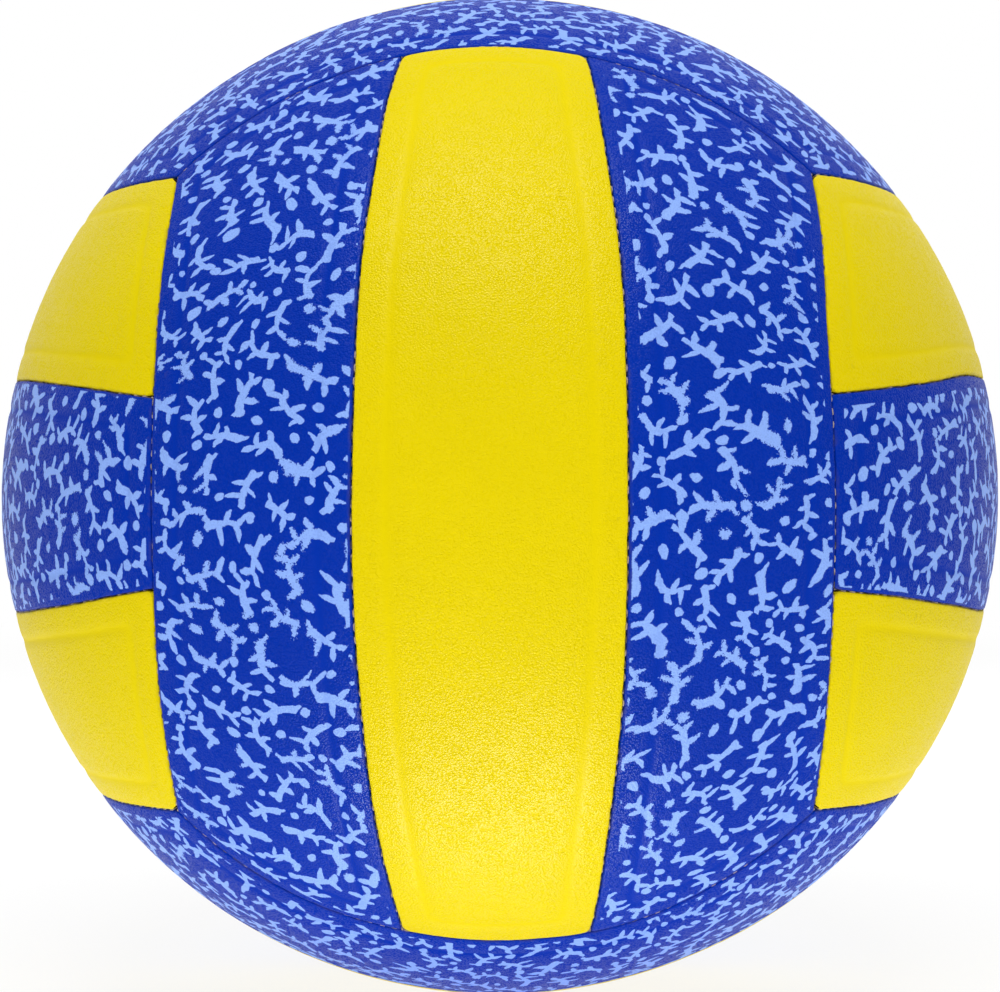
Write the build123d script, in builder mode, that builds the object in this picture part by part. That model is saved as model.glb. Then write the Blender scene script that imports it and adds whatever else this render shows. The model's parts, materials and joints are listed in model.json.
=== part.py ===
from build123d import *
import os
from dataclasses import dataclass
from math import asin, cos, degrees, radians, sin, sqrt

# A sewn volleyball, in millimetres: six faces of three strips. Each strip is a cover panel with its border
# turned in, a foam pad in the tray that this makes, and a lining panel, all around a bladder with its valve.
# The origin is the ball's centre and +Z is up. The face with upright strips is looked at along +Y, and the
# valve is in the face behind it. Each seam is a small circle of the ball, so it is kept as an axis through
# the centre and an angle from that axis, and the panels meet face to face in the plane of the seam.

# Ball, and the widths between its seams as shares of its diameter: the waists of a face and of its middle
# strip along the surface, and the end of the middle strip straight across
BALL_DIAMETER = 210.0
FACE_WAIST_SHARE = 0.6286
MIDDLE_WAIST_SHARE = 0.2319
MIDDLE_END_SHARE = 0.1667

# Layers from the outside in, and the border that is turned in along each seam
SKIN_THICKNESS = 0.9
PAD_THICKNESS = 1.7
HEM_WIDTH = 6.0
LINING_THICKNESS = 0.4
BLADDER_THICKNESS = 0.6

# Bevelled seam edge, and the crease over the inner edge of the turned-in border
SEAM_BEVEL = 0.5
CREASE_WIDTH = 2.0
CREASE_DEPTH = 0.3

# Thread, run along the seam in a channel between the turned-in borders, and stopped short of the seam's ends
THREAD_DIAMETER = 0.4
THREAD_SPACE = 0.1
THREAD_END_GAP = 3.0

# Valve body: a neck through every layer, a flange bonded inside the bladder and a barrel below it
VALVE_NECK_DIAMETER = 9.0
VALVE_RECESS = 0.6
VALVE_EDGE_ROUNDING = 0.4
VALVE_FLANGE_DIAMETER = 26.0
VALVE_FLANGE_THICKNESS = 1.2
VALVE_BARREL_LENGTH = 8.0
VALVE_FLOOR_THICKNESS = 1.6
VALVE_OUTLET_DIAMETER = 2.6

# Valve core: a plug with a barbed rib, a needle bore with a funnel mouth, and a slit that closes below it
CORE_DIAMETER = 5.0
CORE_RECESS = 0.3
CORE_RIB_DIAMETER = 6.2
CORE_RIB_HEIGHT = 1.6
CORE_RIB_DEPTH = 5.0
NEEDLE_BORE_DIAMETER = 2.2
NEEDLE_BORE_DEPTH = 8.0
NEEDLE_MOUTH_DIAMETER = 3.4
SLIT_WIDTH = 0.2

# Room between pieces, and how far every cut runs on past what it cuts
SEAM_CLEARANCE = 0.1
LAYER_CLEARANCE = 0.05
PAD_CLEARANCE = 0.2
CORE_CLEARANCE = 0.05
VALVE_HOLE_CLEARANCE = 0.2
CUT_OVERRUN = 1.0

# Radii of the layers
ball_radius = BALL_DIAMETER / 2
skin_inner_radius = ball_radius - SKIN_THICKNESS
hem_inner_radius = skin_inner_radius - PAD_THICKNESS
lining_radius = hem_inner_radius - LAYER_CLEARANCE
lining_inner_radius = lining_radius - LINING_THICKNESS
bladder_radius = lining_inner_radius - LAYER_CLEARANCE
bladder_inner_radius = bladder_radius - BLADDER_THICKNESS
thread_radius = hem_inner_radius + THREAD_DIAMETER / 2

centre = Vector(0, 0, 0)


@dataclass
class Seam:
    """A small circle of the ball: its axis, and the directions from the centre to its middle and one end."""

    axis: Vector
    middle: Vector
    end: Vector

    @property
    def angle(self):
        """Degrees from the axis to the seam."""
        return self.axis.get_angle(self.middle)

    @property
    def half_turn(self):
        """Degrees about the axis from the middle of the seam to its end."""
        to_middle = self.middle - self.axis * self.axis.dot(self.middle)
        to_end = self.end - self.axis * self.axis.dot(self.end)
        return to_middle.get_angle(to_end)

    def mirrored(self, plane):
        """The same seam on the other side of a plane through the centre."""
        flipped = [v - plane.z_dir * 2 * plane.z_dir.dot(v) for v in (self.axis, self.middle, self.end)]
        return Seam(*flipped)


def seam_through(half_width_angle, end):
    """The seam that crosses the waist at an angle from the face's normal and ends at a point of the ball."""
    middle = Vector(sin(radians(half_width_angle)), 0, cos(radians(half_width_angle)))
    axis = (end - middle).cross(Vector(0, 1, 0)).normalized()
    return Seam(axis, middle, end)


def strip_end(half_width, end_seam):
    """The point of an end seam, as a direction, that lies half a strip's width off the face's centre line."""
    offset = end_seam.axis.dot(end_seam.middle)
    along = Vector(1, 0, 0).cross(end_seam.axis).normalized() * -1
    half_chord = sqrt(1 - half_width**2 - offset**2)
    return Vector(half_width, 0, 0) + end_seam.axis * offset + along * half_chord


# The seams of one face, seen with its strips upright: X across the strips, Y along them, Z out of the ball.
# Three faces meet at each corner of a cube; a face's ends are the outer seams of the faces next to it.
corner = Vector(1, 1, 1).normalized()
outer_seam = seam_through(degrees(FACE_WAIST_SHARE), corner)
upper_end = Seam(*[Vector(v.Y, v.Z, v.X) for v in (outer_seam.axis, outer_seam.middle, outer_seam.end)])
lower_end = upper_end.mirrored(Plane.XZ)
inner_end = strip_end(MIDDLE_END_SHARE, upper_end)
inner_seam = seam_through(degrees(MIDDLE_WAIST_SHARE), inner_end)

# Each panel's four seams, and whether the panel lies on the axis side of the seam or on the other side
ON_AXIS_SIDE = Keep.TOP
ON_FAR_SIDE = Keep.BOTTOM
END_SEAMS = ((upper_end, ON_AXIS_SIDE), (lower_end, ON_AXIS_SIDE))
PANEL_SEAMS = {
    "middle": ((inner_seam, ON_FAR_SIDE), (inner_seam.mirrored(Plane.YZ), ON_FAR_SIDE), *END_SEAMS),
    "side": ((inner_seam, ON_AXIS_SIDE), (outer_seam, ON_FAR_SIDE), *END_SEAMS),
}


def inset_plane(seam, side, inset, level):
    """The plane of the line on a sphere of radius level that runs at an even distance inside a seam."""
    shift = degrees(inset / level)
    angle = seam.angle - shift if side == ON_AXIS_SIDE else seam.angle + shift
    return Plane(origin=seam.axis * level * cos(radians(angle)), z_dir=seam.axis)


def layer_panel(kind, outer_radius, inner_radius, inset, level):
    """One panel of a spherical layer, cut off inside its seams by an inset, measured on the radius level."""
    with BuildPart() as panel:
        with BuildSketch(Plane.XY):
            with BuildLine():
                outer = CenterArc(centre, outer_radius, 0, 180)
                inner = CenterArc(centre, inner_radius, 0, 180)
                Line(outer @ 0, inner @ 0)
                Line(outer @ 1, inner @ 1)
            make_face()
        revolve(axis=Axis.X, revolution_arc=180)
        for seam, side in PANEL_SEAMS[kind]:
            split(bisect_by=inset_plane(seam, side, inset, level), keep=side)
    return panel.part


def border_channel(kind, top, bottom, outer_inset, inner_inset):
    """A channel all round a panel, between two distances from its seams and between two radii."""
    outside = layer_panel(kind, top, bottom, outer_inset, ball_radius)
    inside = layer_panel(kind, top + CUT_OVERRUN, bottom - CUT_OVERRUN, inner_inset, ball_radius)
    with BuildPart() as channel:
        add(outside)
        add(inside, mode=Mode.SUBTRACT)
    return channel.part


def cover(kind):
    """A cover panel: skin and turned-in border in one, with a tray for the foam and room for the thread."""
    sheet = layer_panel(kind, ball_radius, hem_inner_radius, SEAM_CLEARANCE / 2, ball_radius)
    tray = layer_panel(kind, skin_inner_radius, hem_inner_radius - CUT_OVERRUN, HEM_WIDTH, skin_inner_radius)
    crease = border_channel(
        kind,
        ball_radius + CUT_OVERRUN,
        ball_radius - CREASE_DEPTH,
        HEM_WIDTH - CREASE_WIDTH / 2,
        HEM_WIDTH + CREASE_WIDTH / 2,
    )
    thread_channel = border_channel(
        kind,
        hem_inner_radius + THREAD_DIAMETER + THREAD_SPACE,
        hem_inner_radius - CUT_OVERRUN,
        -CUT_OVERRUN,
        THREAD_DIAMETER / 2 + THREAD_SPACE,
    )
    with BuildPart() as panel:
        add(sheet)
        outer_face = panel.faces().filter_by(GeomType.SPHERE).sort_by(SortBy.RADIUS)[-1]
        chamfer(outer_face.edges(), SEAM_BEVEL)
        for cut in (tray, crease, thread_channel):
            add(cut, mode=Mode.SUBTRACT)
    return panel.part


def thread_run(seam):
    """A seam's thread, an arc in the plane of the seam that stops short of the seams at both ends."""
    height = ball_radius * cos(radians(seam.angle))
    arc_radius = sqrt(thread_radius**2 - height**2)
    half_turn = seam.half_turn - degrees(THREAD_END_GAP / arc_radius)
    start = seam.middle.rotate(Axis(centre, seam.axis), -half_turn)
    section_plane = Plane(origin=centre, x_dir=seam.axis, z_dir=seam.axis.cross(start))
    with BuildPart() as run:
        with BuildSketch(section_plane):
            with Locations((height, arc_radius)):
                Circle(THREAD_DIAMETER / 2)
        revolve(axis=Axis(centre, seam.axis), revolution_arc=2 * half_turn)
    return run.part


# Every face as its direction across the strips, its direction out of the ball, and its two side strips' names
FACES = {
    "front": ((1, 0, 0), (0, -1, 0), ("left", "right")),
    "back": ((1, 0, 0), (0, 1, 0), ("left", "right")),
    "left": ((0, 0, 1), (-1, 0, 0), ("lower", "upper")),
    "right": ((0, 0, 1), (1, 0, 0), ("lower", "upper")),
    "top": ((0, 1, 0), (0, 0, 1), ("front", "rear")),
    "bottom": ((0, 1, 0), (0, 0, -1), ("front", "rear")),
}
VALVE_PANEL = ("back", "middle")


def face_planes(across, out):
    """The face's plane, and the same plane turned half round for the strip on the other side."""
    return Plane(centre, x_dir=Vector(across), z_dir=out), Plane(centre, x_dir=Vector(across) * -1, z_dir=out)


def panel_places():
    """Each panel's face, its own name, its kind and its plane."""
    for face, (across, out, side_names) in FACES.items():
        plane, turned_plane = face_planes(across, out)
        yield face, side_names[0], "side", turned_plane
        yield face, "middle", "middle", plane
        yield face, side_names[1], "side", plane


os.makedirs("parts", exist_ok=True)

# Cover panels, foam pads and lining panels, each made once for a middle strip and once for a side strip
valve_hole_radius = VALVE_NECK_DIAMETER / 2 + VALVE_HOLE_CLEARANCE
pad_inset = HEM_WIDTH + PAD_CLEARANCE
pad_radius = skin_inner_radius - LAYER_CLEARANCE
layers = {
    "cover": {kind: cover(kind) for kind in PANEL_SEAMS},
    "foam": {
        kind: layer_panel(kind, pad_radius, hem_inner_radius, pad_inset, skin_inner_radius)
        for kind in PANEL_SEAMS
    },
    "lining": {
        kind: layer_panel(kind, lining_radius, lining_inner_radius, SEAM_CLEARANCE / 2, lining_radius)
        for kind in PANEL_SEAMS
    },
}
for layer, shapes in layers.items():
    for face, place, kind, plane in panel_places():
        with BuildPart(plane) as piece:
            add(shapes[kind])
            if (face, place) == VALVE_PANEL:
                Hole(valve_hole_radius)
        piece.part.label = f"{layer}_{face}_{place}"
        export_step(piece.part, f"parts/{piece.part.label}.step")

# Seam threads: one run along each seam, twelve between the faces and twelve between the strips
thread_planes = [plane for across, out, _ in FACES.values() for plane in face_planes(across, out)]
for name, seam in (("face_seam_thread", outer_seam), ("strip_seam_thread", inner_seam)):
    run = thread_run(seam)
    with BuildPart(*thread_planes) as threads:
        add(run)
    threads.part.label = name
    export_step(threads.part, f"parts/{name}.step")

# Bladder: a hollow ball with a hole for the valve, which points along +Y
with BuildPart() as bladder:
    with BuildSketch(Plane.XY):
        with BuildLine():
            outside = CenterArc(centre, bladder_radius, -90, 180)
            inside = CenterArc(centre, bladder_inner_radius, -90, 180)
            Line(outside @ 0, inside @ 0)
            Line(outside @ 1, inside @ 1)
        make_face()
    revolve(axis=Axis.Y)
    with BuildSketch(Plane.XZ):
        Circle(valve_hole_radius)
    extrude(amount=-(bladder_radius + CUT_OVERRUN), mode=Mode.SUBTRACT)
bladder.part.label = "bladder"
export_step(bladder.part, "parts/bladder.step")

# Heights of the valve along its axis, from the ball's centre
neck_top = ball_radius - VALVE_RECESS
flange_radius = bladder_inner_radius - LAYER_CLEARANCE
flange_inner_radius = flange_radius - VALVE_FLANGE_THICKNESS
barrel_bottom = flange_inner_radius - VALVE_BARREL_LENGTH
core_top = neck_top - CORE_RECESS
core_bottom = barrel_bottom + VALVE_FLOOR_THICKNESS + CORE_CLEARANCE
rib_top = core_top - CORE_RIB_DEPTH


def plug(clearance, top):
    """The valve core's outside, with a barb that slopes in to the ball's centre, grown by a clearance."""
    radius = CORE_DIAMETER / 2 + clearance
    rib_radius = CORE_RIB_DIAMETER / 2 + clearance
    with BuildPart() as body:
        with BuildSketch(Plane.XY):
            with BuildLine():
                Polyline(
                    (0, core_bottom - clearance),
                    (radius, core_bottom - clearance),
                    (radius, rib_top - CORE_RIB_HEIGHT - clearance),
                    (rib_radius, rib_top + clearance),
                    (radius, rib_top + clearance),
                    (radius, top),
                    (0, top),
                    close=True,
                )
            make_face()
        revolve(axis=Axis.Y)
    return body.part


# Valve body: neck and barrel in one, with the flange round it and a seat for the core
seat = plug(CORE_CLEARANCE, neck_top + CUT_OVERRUN)
flange_half_angle = degrees(asin(VALVE_FLANGE_DIAMETER / 2 / flange_radius))
with BuildPart() as valve_body:
    with BuildSketch(Plane.XY):
        with BuildLine():
            Polyline(
                (0, barrel_bottom),
                (VALVE_NECK_DIAMETER / 2, barrel_bottom),
                (VALVE_NECK_DIAMETER / 2, neck_top),
                (0, neck_top),
                close=True,
            )
        make_face()
        with BuildLine():
            upper = CenterArc(centre, flange_radius, 90 - flange_half_angle, flange_half_angle)
            lower = CenterArc(centre, flange_inner_radius, 90 - flange_half_angle, flange_half_angle)
            Line(upper @ 0, lower @ 0)
            Line(upper @ 1, lower @ 1)
        make_face()
    revolve(axis=Axis.Y)
    ends = valve_body.edges().filter_by(GeomType.CIRCLE).sort_by(Axis.Y)
    fillet([ends[0], ends[-1]], VALVE_EDGE_ROUNDING)
    add(seat, mode=Mode.SUBTRACT)
    with BuildSketch(Plane.XZ.offset(-barrel_bottom + CUT_OVERRUN)):
        Circle(VALVE_OUTLET_DIAMETER / 2)
    extrude(amount=-(VALVE_FLOOR_THICKNESS + 2 * CUT_OVERRUN), mode=Mode.SUBTRACT)
valve_body.part.label = "valve_body"
export_step(valve_body.part, "parts/valve_body.step")

# Valve core: the plug with its needle bore, and a slit from the end of the bore to the bottom
core_shape = plug(0, core_top)
with BuildPart() as valve_core:
    add(core_shape)
    with Locations(Plane(origin=(0, core_top, 0), x_dir=(1, 0, 0), z_dir=(0, 1, 0))):
        CounterSinkHole(NEEDLE_BORE_DIAMETER / 2, NEEDLE_MOUTH_DIAMETER / 2, depth=NEEDLE_BORE_DEPTH)
    with BuildSketch(Plane.XZ.offset(-(core_top - NEEDLE_BORE_DEPTH))):
        Rectangle(NEEDLE_BORE_DIAMETER, SLIT_WIDTH)
    extrude(until=Until.LAST, mode=Mode.SUBTRACT)
valve_core.part.label = "valve_core"
export_step(valve_core.part, "parts/valve_core.step")
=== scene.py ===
import itertools
import json
import math

import bpy
import numpy as np
from bpy.props import FloatProperty, FloatVectorProperty, IntProperty, PointerProperty
from mathutils import Euler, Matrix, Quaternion, Vector

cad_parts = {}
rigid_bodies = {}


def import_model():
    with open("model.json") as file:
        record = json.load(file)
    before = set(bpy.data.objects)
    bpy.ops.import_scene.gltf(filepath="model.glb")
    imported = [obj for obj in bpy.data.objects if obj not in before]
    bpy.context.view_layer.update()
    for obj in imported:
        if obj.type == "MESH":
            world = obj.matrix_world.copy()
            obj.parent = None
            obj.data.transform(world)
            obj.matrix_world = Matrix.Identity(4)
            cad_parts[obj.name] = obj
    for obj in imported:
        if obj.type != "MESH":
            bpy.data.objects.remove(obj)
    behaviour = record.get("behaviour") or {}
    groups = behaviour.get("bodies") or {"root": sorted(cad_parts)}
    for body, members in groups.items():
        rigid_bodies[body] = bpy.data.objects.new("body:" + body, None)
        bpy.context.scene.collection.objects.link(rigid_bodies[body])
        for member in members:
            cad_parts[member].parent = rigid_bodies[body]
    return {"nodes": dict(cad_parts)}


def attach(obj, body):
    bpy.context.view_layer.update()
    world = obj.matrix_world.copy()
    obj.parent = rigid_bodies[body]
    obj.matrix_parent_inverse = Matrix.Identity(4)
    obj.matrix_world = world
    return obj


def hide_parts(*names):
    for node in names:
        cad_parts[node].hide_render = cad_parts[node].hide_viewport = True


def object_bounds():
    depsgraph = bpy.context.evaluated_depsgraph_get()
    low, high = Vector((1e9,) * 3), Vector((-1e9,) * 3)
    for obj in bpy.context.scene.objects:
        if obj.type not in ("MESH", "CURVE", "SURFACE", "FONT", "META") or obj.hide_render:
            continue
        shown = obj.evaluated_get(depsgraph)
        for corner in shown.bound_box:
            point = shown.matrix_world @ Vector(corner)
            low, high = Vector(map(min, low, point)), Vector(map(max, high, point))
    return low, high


bl_info = {
    "name": "Sewn volleyball",
    "version": (1, 0, 0),
    "blender": (4, 5, 0),
    "location": "3D View > Sidebar > Volleyball",
    "description": "Dresses the packed parts of an 18-panel volleyball and sets up its studio",
    "category": "Object",
}

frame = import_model()
cad_box = [list(corner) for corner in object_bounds()]

BODY = "root"
MM = 0.001
WHITE = (1.0, 1.0, 1.0, 1.0)

# Each face: direction across its strips, direction out of the ball, names of its two side strips
FACES = {
    "front": ((1, 0, 0), (0, -1, 0), ("left", "right")),
    "back": ((1, 0, 0), (0, 1, 0), ("left", "right")),
    "left": ((0, 0, 1), (-1, 0, 0), ("lower", "upper")),
    "right": ((0, 0, 1), (1, 0, 0), ("lower", "upper")),
    "top": ((0, 1, 0), (0, 0, 1), ("front", "rear")),
    "bottom": ((0, 1, 0), (0, 0, -1), ("front", "rear")),
}
YELLOW_MIDDLES = ("front", "back", "top", "bottom")
VALVE_PANEL = "back_middle"
VALVE_AXIS = Vector((0, 1, 0))

# Distances of the mesh lines from a seam, in millimetres: over the rolled edge and then the crease of a
# cover, and over the rolled edge of a layer under it
COVER_LINES = (
    0, 0.1, 0.22, 0.38, 0.6, 0.95, 1.5, 2.2, 3.0, 3.8,
    4.4, 4.9, 5.3, 5.65, 6.0, 6.35, 6.7, 7.1, 7.6, 8.3,
)
LAYER_LINES = (0, 0.12, 0.3, 0.55, 0.9, 1.5)
LAYER_STEP = 2.5 * MM

# Relief of a cover: how far a seam's pull reaches, how softly the crease turns its corners, where the border
# starts to thin as a share of its width, and the dimple and the hole for the valve
SINK_REACH = 1.3 * MM
CREASE_SOFTNESS = 0.9 * MM
BORDER_SHARE = 0.88
DIMPLE_DEPTH = 0.4 * MM
DIMPLE_REACH = 1.1 * MM
HOLE_SIDES = 96
HOLE_REACH_SHARES = (0.9, 1.1)

# Limits of the layout's sums: rounds that settle a moved seam, and a length that stands in for none
SETTLING_ROUNDS = 40
HARDLY_ANY = 0.001 * MM

# How full the covers and pads are, and the radii of the edges of pads and linings
PAD_ROLL = 0.5 * MM
LINING_ROLL = 0.1 * MM

# Unevenness of handwork, as the number of waves, the shortest, the longest and their amount: small puckers,
# the wander of the seams and the tension of the thread. A share of the first two also lifts the surface.
FINE_WAVES = (24, 2.2 * MM, 5.0 * MM, 0.055 * MM)
BROAD_WAVES = (12, 24 * MM, 60 * MM, 0.32 * MM)
TENSION_WAVES = (12, 9 * MM, 30 * MM, 1.0)
LIFT_SHARE = 0.35
BROAD_SEED, PRINT_SEED, TENSION_SEED = 1, 2, 3
PRINT_SHIFT = 0.4

# Stitches: depths of their top, of what tension adds to it and of their foot, the wave from stitch to
# stitch, steepened and raised so that its tops are longer than its dips, the tension, and the two plies
STITCH_TOP = 0.34 * MM
STITCH_PULL = 0.32 * MM
STITCH_FOOT = 1.5 * MM
STITCH_STEEPNESS, STITCH_RAISE = 1.4, 0.5
SLACKEST, TIGHTEST, USUAL_TENSION = 0, 1.2, 0.4
PLY_PITCH = 1.1 * MM
PLY_WAIST, PLY_SWELL = 0.88, 0.16
THREAD_STEP = 0.3 * MM
THREAD_SIDES = 8

# Leather grain: pebbles and pores per metre, how far pebbles drift, and how much a crease flattens and dulls
PEBBLE_SCALE, PEBBLE_WEIGHT = 2500.0, 0.9
PORE_SCALE, PORE_WEIGHT = 5200.0, 0.25
DRIFT_SCALE, DRIFT = 1100.0, 0.24 * MM
BROAD_SCALE, BROAD_LEAST, BROAD_SPREAD = 420.0, 0.6, 0.8
GRAIN_DEPTH = 0.12 * MM
PRESSED_FLAT, PRESSED_DULL = 0.6, 0.9

# Gloss of the grain: matt hollows and glossier tops, parted by the height of the grain
HOLLOW_GLOSS, HOLLOW_ROUGHNESS = 0.02, 0.5
TOP_GLOSS, TOP_ROUGHNESS, CLOUDY_ROUGHNESS, DIRTY_ROUGHNESS = 0.075, 0.27, 0.08, 0.3
TOPS_FROM, TOPS_FULL = 0.5, 0.76
CLOUD_SCALE = 55.0
YELLOW_TONES, BLUE_TONES = (0.97, 1.03), (0.94, 1.06)

# Dust along the seams and small scuffs near them, with reaches in millimetres
DUST_SCALE, DUST_FROM, DUST_FULL = 260.0, 0.42, 0.7
DUST_FAR, DUST_NEAR = 0.8, 0.05
SCUFF_AREA_SCALE, SCUFF_AREA_FROM, SCUFF_AREA_FULL = 38.0, 0.56, 0.68
SCUFF_FAR, SCUFF_NEAR = 9.0, 1.0
SCUFF_SCALE, SCUFF_FROM, SCUFF_FULL = 620.0, 0.60, 0.72
SCUFF_WEIGHT = 0.8
SOIL = 0.25

# Print, in millimetres: one sprig and one dot to each cell of a grid, which is turned and made to wander
PRINT_CELL = 8.4
PRINT_TURN = 0.5
PRINT_WANDERS = ((0.045, 9.0), (0.6, 0.9))
PRINT_BLUR = 0.1
SPRIG_DRAW, DOT_DRAW, SECOND_DRAW = 3.0, 5.0, 17.3
STEM_HALF, STEM_HALF_SPREAD = 2.3, 0.7
STEM_RADIUS, STEM_RADIUS_SPREAD, STEM_TAPER = 0.62, 0.22, 0.07
STEM_BOW = 0.3
LEAF_RADIUS = 0.28
# Leaves of a sprig: place as a share of the half stem, heading, the chance that swings it and by how much,
# length, the chance that adds to it and how much, and bulge
LEAVES = (
    (0.95, 0.35, "fork", 0.5, 2.3, "lean", 0.8, 0.19),
    (0.80, -0.75, "lean", -0.5, 2.2, "side", 0.9, 0.17),
    (0.15, 0.95, "side", 0.5, 2.3, "weight", 0.8, 0.17),
    (-0.25, -1.05, "fork", -0.5, 2.2, "reach", 0.9, 0.18),
    (-0.85, 2.0, "weight", 0.9, 2.0, "fork", 0.8, 0.17),
)
DOT_RADIUS, DOT_RADIUS_SPREAD, DOT_SLACK = 0.85, 0.4, 1.8
DOT_CHANCE, OUT_OF_SIGHT = 0.85, 9.0

# Wear of the print, in millimetres: edges that are ragged, more so in patches and near seams, an uneven bare
# margin, and the tops of the grain rubbed
RAGGED_SCALE, RAGGED_LEAST = 2600.0, 0.35
PATCH_SCALE, PATCH_FROM, PATCH_FULL, PATCH_RAGGED = 70.0, 0.52, 0.66, 1.5
SEAM_FAR, SEAM_NEAR, SEAM_RAGGED = 4.0, 0.5, 0.7
MARGIN_SCALE, MARGIN_FROM, MARGIN_FULL = 16.0, 0.4, 0.62
MARGIN_LEAST, MARGIN_SPREAD, MARGIN_RAGGED = 0.5, 1.9, 0.3
RUBBED_FROM, RUBBED_FULL, RUBBED = 0.62, 0.9, 0.16

# Thread: fibres and soiled patches per metre, the depth of its fibres, and how matt it is
FIBRE_SCALE, FIBRE_DEPTH = 5200.0, 0.04 * MM
FIBRE_FROM, FIBRE_FULL, FIBRE_WEIGHT = 0.45, 0.65, 0.15
SOILED_SCALE, SOILED_FROM, SOILED_FULL, SOILED_WEIGHT = 330.0, 0.44, 0.56, 0.85
SOILED_CHIP = (30, 30, 40)
THREAD_ROUGHNESS, FIBRE_ROUGHNESS = 0.55, 0.25

# Foam: cells and clouds of tone per metre, the depth of its cells, painted shade in the hollows of its pores,
# and how matt it is
FOAM_SCALE, FOAM_DEPTH = 1400.0, 0.12 * MM
PORE_SHADE_FROM, PORE_SHADE_FULL, PORE_SHADE_WEIGHT = 0.55, 0.2, 0.35
FOAM_TONE_SCALE, FOAM_TONE_WEIGHT, FOAM_SHADE = 90.0, 0.25, 0.72
FOAM_ROUGHNESS, FOAM_ROUGHNESS_SPREAD = 0.85, 0.1

# Lining cloth: waves of its two sets of threads, clouds of tone per metre, painted shade between its threads,
# and how matt it is
WARP, WEFT = (9000.0, 5200.0), (9800.0, 3900.0)
WEAVE_DEPTH, WEAVE_SHADE_WEIGHT = 0.08 * MM, 0.35
CLOTH_TONE_SCALE, CLOTH_TONE_WEIGHT, CLOTH_SHADE = 140.0, 0.3, 0.78
CLOTH_ROUGHNESS, CLOTH_ROUGHNESS_SPREAD = 0.8, 0.12

# Rubber: its bloom, its gloss, and for each piece its roughness and its grain per metre
BLOOM_SCALE, BLOOM_FROM, BLOOM_FULL, BLOOM_WEIGHT = 180.0, 0.4, 0.75, 0.6
BLOOM_TONE, BLOOM_LIFT, BLOOM_ROUGHNESS = 1.7, 0.01, 0.15
RUBBER_DEPTH, RUBBER_GLOSS = 0.03 * MM, 0.4
BLADDER_RUBBER, VALVE_BODY_RUBBER, VALVE_CORE_RUBBER = (0.5, 900.0), (0.45, 2200.0), (0.6, 3000.0)
CORE_TONE = 2.2

# Studio: half the floor, where its white sets in and is full, places and sizes of the soft boxes, camera
FLOOR_HALF = 4.0
FLOOR_SHADOW, FLOOR_WHITE = 0.3, 1.8
FLOOR_TONE_SCALE, FLOOR_TONES = 3.0, (0.90, 0.93)
UPPER_PLACE, LOWER_PLACE, REAR_PLACE = (0.0, -0.58, 1.05), (0.0, -0.45, -1.11), (0.1, 0.98, 0.55)
SOFT_BOX, SHINE_BOX, REAR_BOX = (0.6, 0.22), (0.6, 0.5), (0.8, 0.5)
SENSOR_WIDTH = 36.0
CLIP_START = 0.01


def paint_chip(red, green, blue):
    """A colour given as 8-bit screen values, in scene-linear numbers."""
    shares = [value / 255 for value in (red, green, blue)]
    return [s / 12.92 if s <= 0.04045 else ((s + 0.055) / 1.055) ** 2.4 for s in shares]


def length(name, description, default):
    """A length property in metres."""
    return FloatProperty(
        name=name, description=description, default=default, min=0, precision=5, unit="LENGTH"
    )


def share(name, description, default):
    """A property that is a share of something else."""
    return FloatProperty(
        name=name, description=description, default=default, min=0, max=1, subtype="FACTOR"
    )


def power(name, description, default):
    """The power of a lamp."""
    return FloatProperty(name=name, description=description, default=default, min=0, unit="POWER")


def colour(name, description, chip):
    """A colour property, its default given in 8-bit screen values."""
    return FloatVectorProperty(
        name=name, description=description, default=paint_chip(*chip), size=3, min=0, max=1, subtype="COLOR"
    )


class BallSizes(bpy.types.PropertyGroup):
    """Sizes of the dressed ball."""

    diameter: length("Diameter", "Ball over its panels", cad_box[1][2] - cad_box[0][2])
    face_waist: share("Face waist", "Width of a face along the surface, in diameters", 0.6286)
    middle_waist: share("Middle waist", "Width of a middle strip along the surface, in diameters", 0.2319)
    middle_end: share("Middle end", "Straight width of a middle strip at its ends, in diameters", 0.1667)
    skin: length("Skin", "Thickness of the cover over the foam", 0.9 * MM)
    border: length("Border", "Thickness of the cover at its turned-in border", 2.6 * MM)
    hem_width: length("Hem width", "Width of the border that is turned in along each seam", 6.0 * MM)
    crease_depth: length("Crease depth", "Depth of the crease over the edge of the hem", 0.2 * MM)
    crease_width: length("Crease width", "Half width of the crease", 1.0 * MM)
    edge_roll: length("Edge roll", "Radius that the cover turns over at a seam", 0.36 * MM)
    corner_round: length("Corner round", "Radius of a yellow panel's corners", 1.7 * MM)
    corner_tight: length("Tight corner", "Radius of a blue panel's corners, which fill the joints", 0.5 * MM)
    edge_sink: length("Edge sink", "How far a seam pulls the border down", 0.16 * MM)
    seam_gap: length("Seam gap", "Distance of each panel from the line of its seam", 0.12 * MM)
    stitch_pitch: length("Stitch pitch", "Distance from one stitch to the next", 2.4 * MM)
    thread: length("Thread", "Diameter of the sewing thread", 0.3 * MM)
    lining: length("Lining", "Thickness of the lining cloth", 0.3 * MM)
    pad_gap: length("Pad gap", "Room between a foam pad and the turned-in border", 0.3 * MM)
    layer_gap: length("Layer gap", "Room between two layers", 0.12 * MM)
    valve_hole: length("Valve hole", "Radius of the hole for the valve", 4.7 * MM)
    grid_step: length("Grid step", "Distance between the points of a panel's mesh", 0.85 * MM)


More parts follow.
